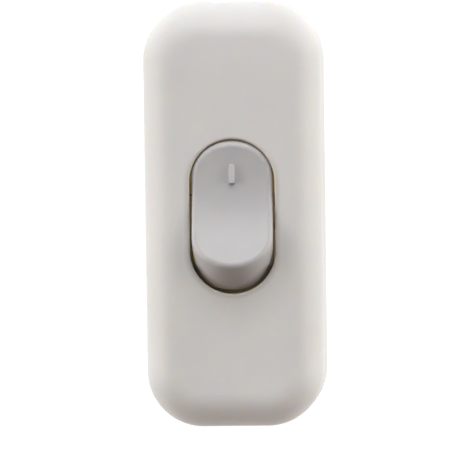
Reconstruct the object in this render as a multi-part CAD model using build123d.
from build123d import *
from math import atan2, cos, hypot, radians, sin, sqrt, tan
import os

# In-line rocker switch for a flexible cord, lying on its back.
# Millimetres. The origin is the middle of the underside, +Z points out of the rocker's face,
# +Y points to the end marked I, and the rocker rests in the ON position with that end pressed.

# Casing: a cover and a base that meet at the parting plane
CASING_LENGTH = 80.0
CASING_WIDTH = 34.0
FACE_HEIGHT = 26.0
PARTING_HEIGHT = 10.0
CORNER_RADIUS = 11.0
COVER_EDGE_RADIUS = 6.5
BASE_EDGE_RADIUS = 2.5
DRAFT_ANGLE = 3.0
PARTING_CHAMFER = 0.3
WALL = 2.2
FLOOR_FILLET = 0.6
LIP_WIDTH = 1.0
LIP_HEIGHT = 1.4

# Clearances
BEARING_CLEARANCE = 0.05
SLIDE_CLEARANCE = 0.08
POCKET_CLEARANCE = 0.15
THREAD_CLEARANCE = 0.02
HOLE_CLEARANCE = 0.2

# Rocker and its opening in the cover
APERTURE_WIDTH = 15.8
APERTURE_LENGTH = 28.6
APERTURE_EDGE_RADIUS = 0.45
APERTURE_SHOULDER = 4.0
MOUTH_DEPTH = 0.8
MOUTH_UNDERCUT = 0.1
SIDE_GAP = 0.42
PIVOT_HEIGHT = 17.5
ROCKER_TILT = 12.0
ROCKER_TOP_LENGTH = 23.0
ROCKER_END_LEAN = 29.0
DISH_RADIUS = 30.0
DISH_RISE = 0.6
ROCKER_WALL = 1.6
ROCKER_EDGE_RADIUS = 1.0
ROCKER_RIB = 1.2
SKIRT_DEPTH = 2.2
SKIRT_FLAT = 6.0
SKIRT_COVER = 0.3
MARK_LENGTH = 3.6
MARK_WIDTH = 1.15
MARK_CORNER_RADIUS = 0.4
MARK_EDGE_RADIUS = 0.12
MARK_RISE = 0.2
MARK_OFFSET = 5.95

# Rocker bearings
TRUNNION_RADIUS = 1.6
TRUNNION_LENGTH = 2.2
BEARING_THICKNESS = 2.3
BEARING_LENGTH = 7.0

# Plunger and its spring, in the rocker's boss
PLUNGER_RADIUS = 1.5
PLUNGER_LENGTH = 5.2
PLUNGER_REACH = 7.2
SPIGOT_RADIUS = 0.75
SPIGOT_LENGTH = 1.2
BOSS_WALL = 1.2
BOSS_DEPTH = 5.2
BORE_TOP = 5.0
SPRING_WIRE = 0.4
SPRING_RADIUS = 1.15
SPRING_TURNS = 5.5

# Contact lever, bracket and contacts
LEVER_TILT = 5.0
LEVER_DISH = 2.0
LEVER_REACH = 9.8
LEVER_WIDTH = 5.2
LEVER_THICKNESS = 0.8
LEVER_END_RADIUS = 1.6
LUG_RADIUS = 0.5
EAR_THICKNESS = 0.8
EAR_WIDTH = 4.6
EAR_RISE = 1.1
PLUNGER_GAP = 0.28
CONTACT_REACH = 8.0
CONTACT_RADIUS = 1.5
CONTACT_HEAD = 0.8
CONTACT_CROWN = 0.3
CONTACT_GAP = 0.05
RIVET_RADIUS = 0.75
RIVET_CLINCH = 0.3
STRIP_THICKNESS = 0.8
STRIP_WIDTH = 3.0
CONTACT_STRIP_WIDTH = 4.0

# Mechanism block
PLINTH_WIDTH = 10.8
PLINTH_WALL = 1.6
PLINTH_KEY_SHARE = 0.5
STOP_WIDTH = 1.2

# Terminals and links
TERMINAL_WIDTH = 5.2
TERMINAL_LENGTH = 6.4
TERMINAL_END = 18.5
TUNNEL_WIDTH = 3.2
TUNNEL_HEIGHT = 4.4
TUNNEL_FLOOR = 1.2
TUNNEL_ROOF = 1.8
LINK_LENGTH = 12.5
LINK_BORE_RADIUS = 1.6
LINK_SCREW_SPACING = 6.4
SEAT_WALL = 1.2
TERMINAL_SCREW_RADIUS = 1.5
TERMINAL_SCREW_LENGTH = 4.0
TERMINAL_HEAD_RADIUS = 2.2
TERMINAL_HEAD_HEIGHT = 1.7

# Cord inlets and clamps
INLET_RADIUS = 4.0
INLET_COLLAR_WALL = 1.6
INLET_COLLAR_LENGTH = 1.6
INLET_BELL = 1.0
CLAMP_WIDTH = 5.5
CLAMP_THICKNESS = 2.6
CLAMP_GRIP_RADIUS = 3.4
CLAMP_SIDE_ROOM = 2.3
CLAMP_SCREW_INSET = 3.2
CLAMP_POST_RADIUS = 3.2
SADDLE_THICKNESS = 2.4
CLAMP_SCREW_RADIUS = 1.45
CLAMP_SCREW_LENGTH = 8.0
CLAMP_HEAD_RADIUS = 2.7
CLAMP_HEAD_HEIGHT = 2.0

# Cover screws, put in from the underside
COVER_SCREW_RADIUS = 1.5
COVER_SCREW_LENGTH = 13.0
COVER_HEAD_RADIUS = 2.7
COVER_HEAD_HEIGHT = 2.0
COVER_HEAD_SINK = 1.5
COVER_BOSS_WALL = 1.3
COVER_POST_WALL = 1.3
COVER_POST_ROOM = 0.6
SCREW_EDGE_RADIUS = 0.5
SCREW_SLOT_WIDTH = 0.7
SCREW_SLOT_DEPTH = 0.9

# Places worked out from the sizes above
HALF_LENGTH = CASING_LENGTH / 2
HALF_WIDTH = CASING_WIDTH / 2
PIVOT_DEPTH = FACE_HEIGHT - PIVOT_HEIGHT
ROCKER_HALF_WIDTH = APERTURE_WIDTH / 2 - SIDE_GAP
MOUTH_LEVEL = PIVOT_DEPTH - MOUTH_DEPTH
SWING_RADIUS = hypot(APERTURE_LENGTH / 2 + MOUTH_UNDERCUT, MOUTH_LEVEL)
BEARING_INNER = APERTURE_WIDTH / 2
BEARING_OUTER = BEARING_INNER + BEARING_THICKNESS
BORE_RADIUS = PLUNGER_RADIUS + SLIDE_CLEARANCE

DISH_CENTRE = PIVOT_DEPTH + DISH_RISE + DISH_RADIUS


def dish_height(reach):
    """Height of the rocker's scooped top above the pivot, at a distance along the rocker."""
    return DISH_CENTRE - sqrt(DISH_RADIUS**2 - reach**2)


# The rocker's top edges in its own frame, and the foot of its skirt, just under the face when raised
END_LEAN = radians(ROCKER_END_LEAN)
ROCKER_EDGE_HEIGHT = dish_height(ROCKER_TOP_LENGTH / 2)
LEAN_FOOT = ROCKER_TOP_LENGTH / 2 + ROCKER_EDGE_HEIGHT * tan(END_LEAN)
SKIRT_END_HEIGHT = (PIVOT_DEPTH - SKIRT_COVER - LEAN_FOOT * sin(radians(ROCKER_TILT))) / (
    cos(radians(ROCKER_TILT)) - tan(END_LEAN) * sin(radians(ROCKER_TILT))
)
SKIRT_END_REACH = LEAN_FOOT - SKIRT_END_HEIGHT * tan(END_LEAN)

# The lever hangs where the plunger's round tip just clears it with the switch ON
LEVER_SLOPE = LEVER_TILT - LEVER_DISH
TIP_CENTRE_Y = -(PLUNGER_REACH - PLUNGER_RADIUS) * sin(radians(ROCKER_TILT))
TIP_CENTRE_Z = PIVOT_HEIGHT - (PLUNGER_REACH - PLUNGER_RADIUS) * cos(radians(ROCKER_TILT))
TIP_TO_LEVER = (PLUNGER_RADIUS + PLUNGER_GAP) / cos(radians(LEVER_SLOPE))
LEVER_HEIGHT = TIP_CENTRE_Z - TIP_CENTRE_Y * tan(radians(LEVER_SLOPE)) - TIP_TO_LEVER - LEVER_THICKNESS / 2

# The strips lie where the two contact heads just clear each other with the switch ON
CROWN_RADIUS = (CONTACT_RADIUS**2 + CONTACT_CROWN**2) / (2 * CONTACT_CROWN)
CROWN_CENTRE = CROWN_RADIUS - LEVER_THICKNESS / 2 - CONTACT_HEAD
CROWN_LOW = (
    LEVER_HEIGHT
    - CONTACT_REACH * sin(radians(LEVER_SLOPE))
    + CROWN_CENTRE * cos(radians(LEVER_SLOPE))
    - CROWN_RADIUS
)
STRIP_TOP = CROWN_LOW - CONTACT_GAP - CONTACT_HEAD
STRIP_BOTTOM = STRIP_TOP - STRIP_THICKNESS
STOP_TOP = CROWN_LOW + CONTACT_HEAD - 2 * CONTACT_GAP

# Terminals stand along both sides of the base
TERMINAL_BOTTOM = STRIP_BOTTOM - TUNNEL_FLOOR
TERMINAL_TOP = STRIP_BOTTOM + TUNNEL_HEIGHT + TUNNEL_ROOF
BASE_INNER_HALF = HALF_WIDTH - WALL - PARTING_HEIGHT * tan(radians(DRAFT_ANGLE))
TERMINAL_X = BASE_INNER_HALF - POCKET_CLEARANCE - TERMINAL_WIDTH / 2
TERMINAL_Y = TERMINAL_END - TERMINAL_LENGTH / 2
LINK_Y = TERMINAL_END - LINK_LENGTH / 2
TAIL_END = TERMINAL_END - POCKET_CLEARANCE
BRACKET_RUN_Y = BEARING_LENGTH / 2 + POCKET_CLEARANCE + STRIP_WIDTH / 2
EAR_INNER = LEVER_WIDTH / 2 + POCKET_CLEARANCE
EAR_OUTER = EAR_INNER + EAR_THICKNESS

# Cover screws stand just clear of the rocker's swing, and each clamp midway between screw and inlet
COVER_BOSS_RADIUS = COVER_SCREW_RADIUS + COVER_BOSS_WALL
COUNTERBORE_RADIUS = COVER_HEAD_RADIUS + HOLE_CLEARANCE
COVER_POST_RADIUS = COUNTERBORE_RADIUS + COVER_POST_WALL
COVER_SCREW_Y = SWING_RADIUS + COVER_POST_ROOM + COVER_BOSS_RADIUS
COUNTERBORE_TOP = COVER_HEAD_SINK + COVER_HEAD_HEIGHT
INLET_INNER = HALF_LENGTH - WALL - INLET_COLLAR_LENGTH
CLAMP_Y = (COVER_SCREW_Y + COVER_POST_RADIUS + INLET_INNER) / 2
CLAMP_HALF_LENGTH = HALF_WIDTH - WALL - CLAMP_SIDE_ROOM
CLAMP_SCREW_X = CLAMP_HALF_LENGTH - CLAMP_SCREW_INSET

SIDES = (-1, 1)


def span_box(x_span, y_span, z_span):
    """A box between two values on each axis."""
    spans = (x_span, y_span, z_span)
    sizes = [abs(end - start) for start, end in spans]
    middle = [(start + end) / 2 for start, end in spans]
    return Pos(*middle) * Box(*sizes)


def upright(x, y, radius, z_span):
    """A round bar along Z."""
    low, high = z_span
    return Pos(x, y, (low + high) / 2) * Cylinder(radius, high - low)


def cross_bar(radius, x_span, z=0.0):
    """A round bar along X, through the middle of the part."""
    start, end = x_span
    return Pos((start + end) / 2, 0, z) * Rot(0, 90, 0) * Cylinder(radius, abs(end - start))


def casing_half(inset, height, edge_radius):
    """Half of the casing's form, standing on the parting plane, moved in by an inset all round."""
    outline = RectangleRounded(
        CASING_WIDTH - 2 * inset, CASING_LENGTH - 2 * inset, CORNER_RADIUS - inset
    )
    form = extrude(outline, amount=height, taper=DRAFT_ANGLE)
    rim = form.faces().sort_by(Axis.Z)[-1].edges()
    return fillet(rim, edge_radius)


def opening_cutter():
    """A slot with round ends through the face, over a barrel turned about the rocker's pivot.

    The barrel gives the rocker's ends room to swing, and starts just outside the slot. Its outline
    is three tangent arcs: a wide crown between two shoulders.
    """
    half_width = APERTURE_WIDTH / 2
    shoulder = APERTURE_SHOULDER
    side = hypot(APERTURE_LENGTH / 2 - half_width + MOUTH_UNDERCUT, MOUTH_LEVEL)
    rise = SWING_RADIUS - side
    crown_radius = (2 * half_width * shoulder - half_width**2 - rise**2) / (2 * (shoulder - rise))
    crown_centre = SWING_RADIUS - crown_radius
    lean = atan2(side - crown_centre, half_width - shoulder)
    meet_x = crown_radius * cos(lean)
    meet_r = crown_centre + crown_radius * sin(lean)
    outline = [
        RadiusArc((half_width, side), (meet_x, meet_r), -shoulder),
        ThreePointArc((meet_x, meet_r), (0, SWING_RADIUS), (-meet_x, meet_r)),
        RadiusArc((-meet_x, meet_r), (-half_width, side), -shoulder),
        Polyline((-half_width, side), (-half_width, 0), (half_width, 0), (half_width, side)),
    ]
    section = make_face([edge for line in outline for edge in line.edges()])
    barrel = Pos(0, 0, PIVOT_HEIGHT) * revolve(Plane.XZ * section, Axis.X)
    mouth = FACE_HEIGHT - MOUTH_DEPTH
    barrel &= span_box((-half_width, half_width), (-HALF_LENGTH, HALF_LENGTH), (0, mouth))
    slot = extrude(SlotOverall(APERTURE_LENGTH, APERTURE_WIDTH, 90), amount=WALL)
    return barrel + Pos(0, 0, mouth) * slot


def lip(clearance):
    """The base's upstanding lip, or with a clearance the rebate in the cover that takes it."""
    outer_inset = WALL - LIP_WIDTH - clearance
    outer = RectangleRounded(
        CASING_WIDTH - 2 * outer_inset, CASING_LENGTH - 2 * outer_inset, CORNER_RADIUS - outer_inset
    )
    inner = RectangleRounded(CASING_WIDTH - 2 * WALL, CASING_LENGTH - 2 * WALL, CORNER_RADIUS - WALL)
    return extrude(outer - inner, amount=LIP_HEIGHT + clearance)


def inlet_cutter():
    """The cord inlets at both ends: a round bore with a bell mouth, along the parting plane."""
    mouth = HALF_LENGTH - INLET_BELL
    wide = INLET_RADIUS + INLET_BELL
    start = INLET_INNER - CLAMP_WIDTH / 2
    finish = HALF_LENGTH + WALL
    throat = Polyline((INLET_RADIUS, mouth), (INLET_RADIUS, start), (0, start), (0, finish), (wide, finish),
                      (wide, HALF_LENGTH))
    bell = CenterArc((wide, mouth), INLET_BELL, 90, 90)
    section = make_face(throat.edges() + bell.edges())
    bore = Pos(0, 0, PARTING_HEIGHT) * revolve(section, Axis.Y)
    return bore + mirror(bore, about=Plane.XZ)


def inlet_collars():
    """Round collars inside the end walls that lengthen the cord inlets."""
    radius = INLET_RADIUS + INLET_COLLAR_WALL
    length = INLET_COLLAR_LENGTH + WALL / 2
    ring = Pos(0, INLET_INNER + length / 2, PARTING_HEIGHT) * Rot(90, 0, 0) * Cylinder(radius, length)
    return ring + mirror(ring, about=Plane.XZ)


def make_cover():
    """Upper shell: rounded edges, the rocker's opening, bearing caps and screw bosses."""
    height = FACE_HEIGHT - PARTING_HEIGHT
    form = Pos(0, 0, PARTING_HEIGHT) * casing_half(0, height, COVER_EDGE_RADIUS)
    form = chamfer(form.edges().group_by(Axis.Z)[0], PARTING_CHAMFER)
    hollow = Pos(0, 0, PARTING_HEIGHT) * casing_half(WALL, height - WALL, COVER_EDGE_RADIUS - WALL)
    roof = FACE_HEIGHT - WALL / 2
    fittings = inlet_collars()
    for side in SIDES:
        fittings += span_box(
            (side * BEARING_INNER, side * BEARING_OUTER),
            (-BEARING_LENGTH / 2, BEARING_LENGTH / 2),
            (PIVOT_HEIGHT, roof),
        )
        fittings += upright(0, side * COVER_SCREW_Y, COVER_BOSS_RADIUS, (PARTING_HEIGHT, roof))
    cover = form - hollow + (fittings & form)
    cover -= opening_cutter()
    cover -= Pos(0, 0, PARTING_HEIGHT) * lip(POCKET_CLEARANCE)
    cover -= inlet_cutter()
    cover -= cross_bar(TRUNNION_RADIUS + BEARING_CLEARANCE, (-BEARING_OUTER, BEARING_OUTER), PIVOT_HEIGHT)
    for side in SIDES:
        pilot_end = COUNTERBORE_TOP + COVER_SCREW_LENGTH + WALL
        pilot = (PARTING_HEIGHT, min(pilot_end, FACE_HEIGHT - WALL))
        cover -= upright(0, side * COVER_SCREW_Y, COVER_SCREW_RADIUS + THREAD_CLEARANCE, pilot)
    half_width = APERTURE_WIDTH / 2 + SIDE_GAP
    half_length = APERTURE_LENGTH / 2 + SIDE_GAP
    opening = cover.edges().group_by(Axis.Z)[-1].filter_by_position(Axis.X, -half_width, half_width)
    opening = opening.filter_by_position(Axis.Y, -half_length, half_length)
    return fillet(opening, APERTURE_EDGE_RADIUS)


def terminal_seats():
    """Pockets on the base's floor for the two terminals and the two links."""
    seats = []
    top = STRIP_BOTTOM - POCKET_CLEARANCE
    for x_side in SIDES:
        for y_side in SIDES:
            is_terminal = x_side == y_side
            length = TERMINAL_LENGTH if is_terminal else LINK_LENGTH
            near = y_side * (TERMINAL_END - length - POCKET_CLEARANCE)
            far = y_side * (TERMINAL_END + POCKET_CLEARANCE)
            inner = x_side * (TERMINAL_X - TERMINAL_WIDTH / 2 - POCKET_CLEARANCE)
            outer = x_side * (TERMINAL_X + TERMINAL_WIDTH / 2 + POCKET_CLEARANCE)
            rim = span_box(
                (inner - x_side * SEAT_WALL, x_side * HALF_WIDTH),
                (near - y_side * SEAT_WALL, far + y_side * SEAT_WALL),
                (WALL / 2, top),
            )
            seats.append(rim - span_box((inner, outer), (near, far), (TERMINAL_BOTTOM, PARTING_HEIGHT)))
    return seats


def make_base():
    """Lower tray: terminal pockets, clamp posts and saddles, screw posts and the lip."""
    form = casing_half(0, PARTING_HEIGHT, BASE_EDGE_RADIUS)
    hollow = casing_half(WALL, PARTING_HEIGHT - WALL, FLOOR_FILLET)
    form = Pos(0, 0, PARTING_HEIGHT) * mirror(form, about=Plane.XY)
    hollow = Pos(0, 0, PARTING_HEIGHT) * mirror(hollow, about=Plane.XY)
    floor = WALL / 2
    fittings = inlet_collars()
    for seat in terminal_seats():
        fittings += seat
    fittings += span_box(*key_spans(0.0))
    for y_side in SIDES:
        y = y_side * CLAMP_Y
        fittings += upright(0, y_side * COVER_SCREW_Y, COVER_POST_RADIUS, (floor, PARTING_HEIGHT))
        fittings += span_box(
            (-CLAMP_SCREW_X, CLAMP_SCREW_X),
            (y - SADDLE_THICKNESS / 2, y + SADDLE_THICKNESS / 2),
            (floor, PARTING_HEIGHT),
        )
        for x_side in SIDES:
            fittings += upright(x_side * CLAMP_SCREW_X, y, CLAMP_POST_RADIUS, (floor, PARTING_HEIGHT))
    base = form - hollow + (fittings & form)
    base += Pos(0, 0, PARTING_HEIGHT) * lip(0.0)
    base -= inlet_cutter()
    rim_cut = INLET_RADIUS + INLET_COLLAR_WALL + POCKET_CLEARANCE
    above = (PARTING_HEIGHT, PARTING_HEIGHT + 2 * LIP_HEIGHT)
    base -= span_box((-rim_cut, rim_cut), (-HALF_LENGTH, HALF_LENGTH), above)
    for y_side in SIDES:
        y = y_side * CLAMP_Y
        saddle = Rot(90, 0, 0) * Cylinder(CLAMP_GRIP_RADIUS, 2 * CLAMP_POST_RADIUS)
        base -= Pos(0, y, PARTING_HEIGHT) * saddle
        for x_side in SIDES:
            thread = (WALL, PARTING_HEIGHT)
            base -= upright(x_side * CLAMP_SCREW_X, y, CLAMP_SCREW_RADIUS + THREAD_CLEARANCE, thread)
        screw_y = y_side * COVER_SCREW_Y
        base -= upright(0, screw_y, COUNTERBORE_RADIUS, (0, COUNTERBORE_TOP))
        base -= upright(0, screw_y, COVER_SCREW_RADIUS + HOLE_CLEARANCE, (0, PARTING_HEIGHT))
    return base


def plinth_span():
    """Y range of the mechanism block's plinth, from under the fixed contact to behind the stop."""
    back = -CONTACT_REACH - CONTACT_STRIP_WIDTH / 2 - POCKET_CLEARANCE
    front = CONTACT_REACH + STOP_WIDTH
    return back, front


def key_spans(clearance):
    """The base's locating key, or with a clearance the hollow under the plinth that fits over it."""
    back, front = plinth_span()
    half = PLINTH_WIDTH / 2 - PLINTH_WALL - POCKET_CLEARANCE + clearance
    inset = PLINTH_WALL + POCKET_CLEARANCE - clearance
    low = WALL if clearance else WALL / 2
    ceiling = STRIP_BOTTOM - PLINTH_WALL
    high = ceiling if clearance else WALL + PLINTH_KEY_SHARE * (ceiling - WALL)
    return (-half, half), (back + inset, front - inset), (low, high)


def make_mechanism_block():
    """Carrier for the live parts: a hollow plinth, the OFF stop and the rocker's bearing posts."""
    half = PLINTH_WIDTH / 2
    body = span_box((-half, half), plinth_span(), (WALL, STRIP_BOTTOM))
    bearing = (-BEARING_LENGTH / 2, BEARING_LENGTH / 2)
    for side in SIDES:
        body += span_box((0, side * BEARING_OUTER), bearing, (WALL, STRIP_BOTTOM - PLINTH_WALL))
        body += span_box((side * BEARING_INNER, side * BEARING_OUTER), bearing, (WALL, PIVOT_HEIGHT))
    stop = (CONTACT_REACH - STOP_WIDTH / 2, CONTACT_REACH + STOP_WIDTH / 2)
    body += span_box((-LEVER_WIDTH / 2, LEVER_WIDTH / 2), stop, (WALL, STOP_TOP))
    body -= span_box(*key_spans(POCKET_CLEARANCE))
    body -= cross_bar(TRUNNION_RADIUS + BEARING_CLEARANCE, (-BEARING_OUTER, BEARING_OUTER), PIVOT_HEIGHT)
    return body


def in_rocker(piece):
    """Set a piece that was made about the rocker's pivot in its ON position."""
    return Pos(0, 0, PIVOT_HEIGHT) * Rot(-ROCKER_TILT, 0, 0) * piece


def dish(radius):
    """The cylinder along X whose underside is the rocker's scooped top."""
    reach = ROCKER_HALF_WIDTH + TRUNNION_LENGTH
    return cross_bar(radius, (-reach, reach), DISH_CENTRE)


def rocker_form(inset):
    """Slot with leaning ends and a scooped top, moved in by an inset all round."""
    half_width = ROCKER_HALF_WIDTH - inset
    top_half = ROCKER_TOP_LENGTH / 2 - inset / cos(END_LEAN)
    bottom = -SKIRT_DEPTH - inset
    bottom_half = top_half + (ROCKER_EDGE_HEIGHT - bottom) * tan(END_LEAN)
    top_slot = Pos(0, 0, ROCKER_EDGE_HEIGHT) * SlotOverall(2 * top_half, 2 * half_width, 90)
    bottom_slot = Pos(0, 0, bottom) * SlotOverall(2 * bottom_half, 2 * half_width, 90)
    return loft([bottom_slot, top_slot], ruled=True) - dish(DISH_RADIUS + inset)


def rocker_underside():
    """The space above the rocker's skirt, which rises from the pivot to just under the face."""
    flat = SKIRT_FLAT / 2
    far = 2 * SWING_RADIUS
    outline = Polyline(
        (-far, SKIRT_END_HEIGHT),
        (-SKIRT_END_REACH, SKIRT_END_HEIGHT),
        (-flat, -SKIRT_DEPTH),
        (flat, -SKIRT_DEPTH),
        (SKIRT_END_REACH, SKIRT_END_HEIGHT),
        (far, SKIRT_END_HEIGHT),
        (far, far),
        (-far, far),
        close=True,
    )
    return extrude(Plane.YZ * make_face(outline), amount=APERTURE_WIDTH, both=True)


def make_mark():
    """Flat-topped ON bar, rooted in the scooped top and just proud of it at its high end."""
    root = dish_height(MARK_OFFSET - MARK_LENGTH / 2) - ROCKER_WALL / 2
    top = dish_height(MARK_OFFSET + MARK_LENGTH / 2) + MARK_RISE
    bar = extrude(RectangleRounded(MARK_WIDTH, MARK_LENGTH, MARK_CORNER_RADIUS), amount=top - root)
    bar = fillet(bar.faces().sort_by(Axis.Z)[-1].edges(), MARK_EDGE_RADIUS)
    return Pos(0, MARK_OFFSET, root) * bar


def make_rocker():
    """One hollow moulding: scooped top, raised ON bar, side trunnions and the plunger's boss."""
    blank = rocker_form(0.0) & rocker_underside()
    top = blank.faces().filter_by(GeomType.CYLINDER).sort_by(SortBy.AREA)[-1]
    blank = fillet(top.edges(), ROCKER_EDGE_RADIUS)
    ceiling = PIVOT_DEPTH + DISH_RISE - ROCKER_WALL / 2
    rocker = blank - rocker_form(ROCKER_WALL)
    rocker += upright(0, 0, BORE_RADIUS + BOSS_WALL, (-BOSS_DEPTH, ceiling))
    rib = (-ROCKER_HALF_WIDTH + ROCKER_WALL / 2, ROCKER_HALF_WIDTH - ROCKER_WALL / 2)
    rocker += span_box(rib, (-ROCKER_RIB / 2, ROCKER_RIB / 2), (-SKIRT_DEPTH, ceiling))
    for side in SIDES:
        inner = ROCKER_HALF_WIDTH - ROCKER_WALL / 2
        rocker += cross_bar(TRUNNION_RADIUS, (side * inner, side * (ROCKER_HALF_WIDTH + TRUNNION_LENGTH)))
    rocker -= upright(0, 0, BORE_RADIUS, (-BOSS_DEPTH, BORE_TOP))
    return in_rocker(rocker + make_mark())


def make_plunger():
    """Round-nosed pin with a spigot for the spring."""
    tip = -PLUNGER_REACH + PLUNGER_RADIUS
    shoulder = -PLUNGER_REACH + PLUNGER_LENGTH
    body = upright(0, 0, PLUNGER_RADIUS, (tip, shoulder))
    body += Pos(0, 0, tip) * Sphere(PLUNGER_RADIUS)
    body += upright(0, 0, SPIGOT_RADIUS, (shoulder, shoulder + SPIGOT_LENGTH))
    return in_rocker(body)


def make_plunger_spring():
    """Compression spring between the plunger's shoulder and the end of its bore."""
    low = -PLUNGER_REACH + PLUNGER_LENGTH + SPRING_WIRE / 2
    high = BORE_TOP - SPRING_WIRE / 2
    path = Helix((high - low) / SPRING_TURNS, high - low, SPRING_RADIUS)
    section = Plane(origin=path @ 0, z_dir=path % 0) * Circle(SPRING_WIRE / 2)
    return in_rocker(Pos(0, 0, low) * sweep(section, path=path, is_frenet=True))


def on_lever(piece):
    """Set a piece that was made about the lever's pivot in its ON position."""
    return Pos(0, 0, LEVER_HEIGHT) * Rot(LEVER_TILT, 0, 0) * piece


def on_lever_arm(piece):
    """Set a piece that was made about the lever's contact on the arm that bends up to it."""
    return on_lever(Rot(-LEVER_DISH, 0, 0) * Pos(0, -CONTACT_REACH, 0) * piece)


def make_contact_lever():
    """Shallow V of copper strip that rocks on two round lugs."""
    rise = LEVER_REACH * tan(radians(LEVER_DISH))
    half = LEVER_THICKNESS / 2
    outline = Polyline(
        (-LEVER_REACH, rise + half),
        (0, half),
        (LEVER_REACH, rise + half),
        (LEVER_REACH, rise - half),
        (0, -half),
        (-LEVER_REACH, rise - half),
        close=True,
    )
    strip = extrude(Plane.YZ * make_face(outline), amount=LEVER_WIDTH / 2, both=True)
    strip = fillet(strip.edges().filter_by(Axis.Z), LEVER_END_RADIUS)
    for side in SIDES:
        strip += cross_bar(LUG_RADIUS, (side * (LEVER_WIDTH / 2 - LUG_RADIUS), side * EAR_OUTER))
    hole = Cylinder(RIVET_RADIUS + THREAD_CLEARANCE, 3 * LEVER_THICKNESS)
    return on_lever(strip) - on_lever_arm(hole)


def make_lever_contact():
    """Silver rivet with a crowned head under the lever."""
    half = LEVER_THICKNESS / 2
    head = upright(0, 0, CONTACT_RADIUS, (-half - CONTACT_HEAD, -half))
    head &= Pos(0, 0, CROWN_CENTRE) * Sphere(CROWN_RADIUS)
    shank = upright(0, 0, RIVET_RADIUS, (-half, half))
    clinch = upright(0, 0, CONTACT_RADIUS - RIVET_CLINCH, (half, half + RIVET_CLINCH))
    return on_lever_arm(head + shank + clinch)


def make_fixed_contact():
    """Silver rivet with a flat head on the fixed strip."""
    head = upright(0, -CONTACT_REACH, CONTACT_RADIUS, (STRIP_TOP, STRIP_TOP + CONTACT_HEAD))
    return head + upright(0, -CONTACT_REACH, RIVET_RADIUS, (STRIP_BOTTOM, STRIP_TOP))


def strip_tail(side, start_x, run_y, run_width):
    """Flat strip that runs out along X and turns along Y into a terminal's tunnel."""
    layer = (STRIP_BOTTOM, STRIP_TOP)
    edge = TERMINAL_X + STRIP_WIDTH / 2
    run = span_box((start_x, side * edge), (run_y - run_width / 2, run_y + run_width / 2), layer)
    leg_start = run_y - side * run_width / 2
    inner = TERMINAL_X - STRIP_WIDTH / 2
    return run + span_box((side * inner, side * edge), (leg_start, side * TAIL_END), layer)


def make_fixed_contact_strip():
    """Brass strip from the fixed contact to the load terminal."""
    strip = strip_tail(-1, CONTACT_STRIP_WIDTH / 2, -CONTACT_REACH, CONTACT_STRIP_WIDTH)
    hole = (STRIP_BOTTOM, STRIP_TOP)
    return strip - upright(0, -CONTACT_REACH, RIVET_RADIUS + THREAD_CLEARANCE, hole)


def make_lever_bracket():
    """Brass strip with two notched ears that carry the lever, led to the line terminal."""
    bracket = strip_tail(1, -EAR_OUTER, BRACKET_RUN_Y, STRIP_WIDTH)
    plate = (-EAR_WIDTH / 2, BRACKET_RUN_Y)
    bracket += span_box((-EAR_OUTER, EAR_OUTER), plate, (STRIP_BOTTOM, STRIP_TOP))
    notch_radius = LUG_RADIUS + BEARING_CLEARANCE
    for side in SIDES:
        ear = (side * EAR_INNER, side * EAR_OUTER)
        width = (-EAR_WIDTH / 2, EAR_WIDTH / 2)
        bracket += span_box(ear, width, (STRIP_BOTTOM, LEVER_HEIGHT + EAR_RISE))
    bracket -= cross_bar(notch_radius, (-EAR_OUTER, EAR_OUTER), LEVER_HEIGHT)
    slot = (LEVER_HEIGHT, LEVER_HEIGHT + EAR_RISE)
    return bracket - span_box((-EAR_OUTER, EAR_OUTER), (-notch_radius, notch_radius), slot)


def make_terminal(side):
    """Square brass tunnel that clamps a conductor onto the end of its strip."""
    x = side * TERMINAL_X
    y = side * TERMINAL_Y
    half = TERMINAL_WIDTH / 2
    length = (y - TERMINAL_LENGTH / 2, y + TERMINAL_LENGTH / 2)
    block = span_box((x - half, x + half), length, (TERMINAL_BOTTOM, TERMINAL_TOP))
    tunnel = (STRIP_BOTTOM, STRIP_BOTTOM + TUNNEL_HEIGHT)
    block -= span_box((x - TUNNEL_WIDTH / 2, x + TUNNEL_WIDTH / 2), length, tunnel)
    thread = (STRIP_TOP, TERMINAL_TOP)
    return block - upright(x, y, TERMINAL_SCREW_RADIUS + THREAD_CLEARANCE, thread)


def link_screw_places(side):
    """Middles of the two screws of the link on one side."""
    y = -side * LINK_Y
    return [(side * TERMINAL_X, y + step * LINK_SCREW_SPACING / 2) for step in SIDES]


def make_link(side):
    """Two-screw brass connector that joins a conductor straight through."""
    x = side * TERMINAL_X
    y = -side * LINK_Y
    half = TERMINAL_WIDTH / 2
    length = (y - LINK_LENGTH / 2, y + LINK_LENGTH / 2)
    block = span_box((x - half, x + half), length, (TERMINAL_BOTTOM, TERMINAL_TOP))
    bore_z = STRIP_BOTTOM + TUNNEL_HEIGHT / 2
    block -= Pos(x, y, bore_z) * Rot(90, 0, 0) * Cylinder(LINK_BORE_RADIUS, LINK_LENGTH)
    for place_x, place_y in link_screw_places(side):
        block -= upright(place_x, place_y, TERMINAL_SCREW_RADIUS + THREAD_CLEARANCE, (bore_z, TERMINAL_TOP))
    return block


def make_screw(radius, length, head_radius, head_height):
    """Slotted screw that points down, the underside of its head at the origin."""
    head = upright(0, 0, head_radius, (0, head_height))
    head = fillet(head.edges().sort_by(Axis.Z)[-1], SCREW_EDGE_RADIUS)
    slot = (head_height - SCREW_SLOT_DEPTH, head_height)
    width = (-SCREW_SLOT_WIDTH / 2, SCREW_SLOT_WIDTH / 2)
    head -= span_box((-head_radius, head_radius), width, slot)
    return head + upright(0, 0, radius, (-length, 0))


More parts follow.
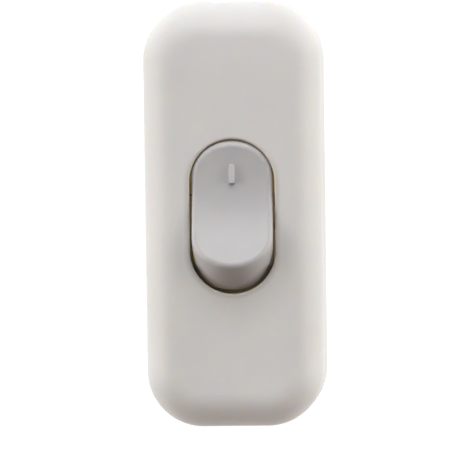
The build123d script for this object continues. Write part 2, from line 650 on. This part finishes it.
def make_terminal_screws():
    """Six screws, one on each terminal and two on each link."""
    places = []
    for side in SIDES:
        places.append((side * TERMINAL_X, side * TERMINAL_Y))
        places += link_screw_places(side)
    screw = make_screw(TERMINAL_SCREW_RADIUS, TERMINAL_SCREW_LENGTH, TERMINAL_HEAD_RADIUS, TERMINAL_HEAD_HEIGHT)
    return Compound([Pos(x, y, TERMINAL_TOP) * screw for x, y in places])


def make_cord_clamp(y_side):
    """Arched bar that holds the cord's sheath down on the base's saddle."""
    arch = Circle(CLAMP_GRIP_RADIUS + CLAMP_THICKNESS)
    arch += Pos(0, CLAMP_THICKNESS / 2) * Rectangle(2 * CLAMP_HALF_LENGTH, CLAMP_THICKNESS)
    arch -= Circle(CLAMP_GRIP_RADIUS)
    below = CLAMP_GRIP_RADIUS + CLAMP_THICKNESS
    arch -= Pos(0, -below / 2) * Rectangle(2 * CLAMP_HALF_LENGTH, below)
    bar = extrude(Plane.XZ * arch, amount=CLAMP_WIDTH / 2, both=True)
    bar = Pos(0, y_side * CLAMP_Y, PARTING_HEIGHT) * bar
    for x_side in SIDES:
        hole = (PARTING_HEIGHT, PARTING_HEIGHT + CLAMP_THICKNESS)
        x = x_side * CLAMP_SCREW_X
        bar -= upright(x, y_side * CLAMP_Y, CLAMP_SCREW_RADIUS + HOLE_CLEARANCE, hole)
    return bar


def make_clamp_screws():
    """Four screws through the cord clamps into the base's posts."""
    screw = make_screw(CLAMP_SCREW_RADIUS, CLAMP_SCREW_LENGTH, CLAMP_HEAD_RADIUS, CLAMP_HEAD_HEIGHT)
    top = PARTING_HEIGHT + CLAMP_THICKNESS
    return Compound(
        [Pos(x * CLAMP_SCREW_X, y * CLAMP_Y, top) * screw for x in SIDES for y in SIDES]
    )


def make_cover_screws():
    """Two screws up through the base's posts into the cover's bosses."""
    screw = make_screw(COVER_SCREW_RADIUS, COVER_SCREW_LENGTH, COVER_HEAD_RADIUS, COVER_HEAD_HEIGHT)
    screw = Rot(180, 0, 0) * screw
    return Compound([Pos(0, side * COVER_SCREW_Y, COUNTERBORE_TOP) * screw for side in SIDES])


NODES = {
    "base": make_base(),
    "cover": make_cover(),
    "cover_screws": make_cover_screws(),
    "rocker": make_rocker(),
    "plunger": make_plunger(),
    "plunger_spring": make_plunger_spring(),
    "mechanism_block": make_mechanism_block(),
    "contact_lever": make_contact_lever(),
    "lever_contact": make_lever_contact(),
    "fixed_contact": make_fixed_contact(),
    "fixed_contact_strip": make_fixed_contact_strip(),
    "lever_bracket": make_lever_bracket(),
    "line_terminal": make_terminal(1),
    "load_terminal": make_terminal(-1),
    "neutral_link": make_link(-1),
    "earth_link": make_link(1),
    "terminal_screws": make_terminal_screws(),
    "cord_clamp_on_end": make_cord_clamp(1),
    "cord_clamp_off_end": make_cord_clamp(-1),
    "clamp_screws": make_clamp_screws(),
}

os.makedirs("parts", exist_ok=True)
for name, node in NODES.items():
    export_step(node, f"parts/{name}.step")
print(f"rocker pivot z {PIVOT_HEIGHT:.3f}, lever pivot z {LEVER_HEIGHT:.3f}")
print(f"cord inlets r {INLET_RADIUS:.2f} at y {HALF_LENGTH:.2f}, z {PARTING_HEIGHT:.2f}")
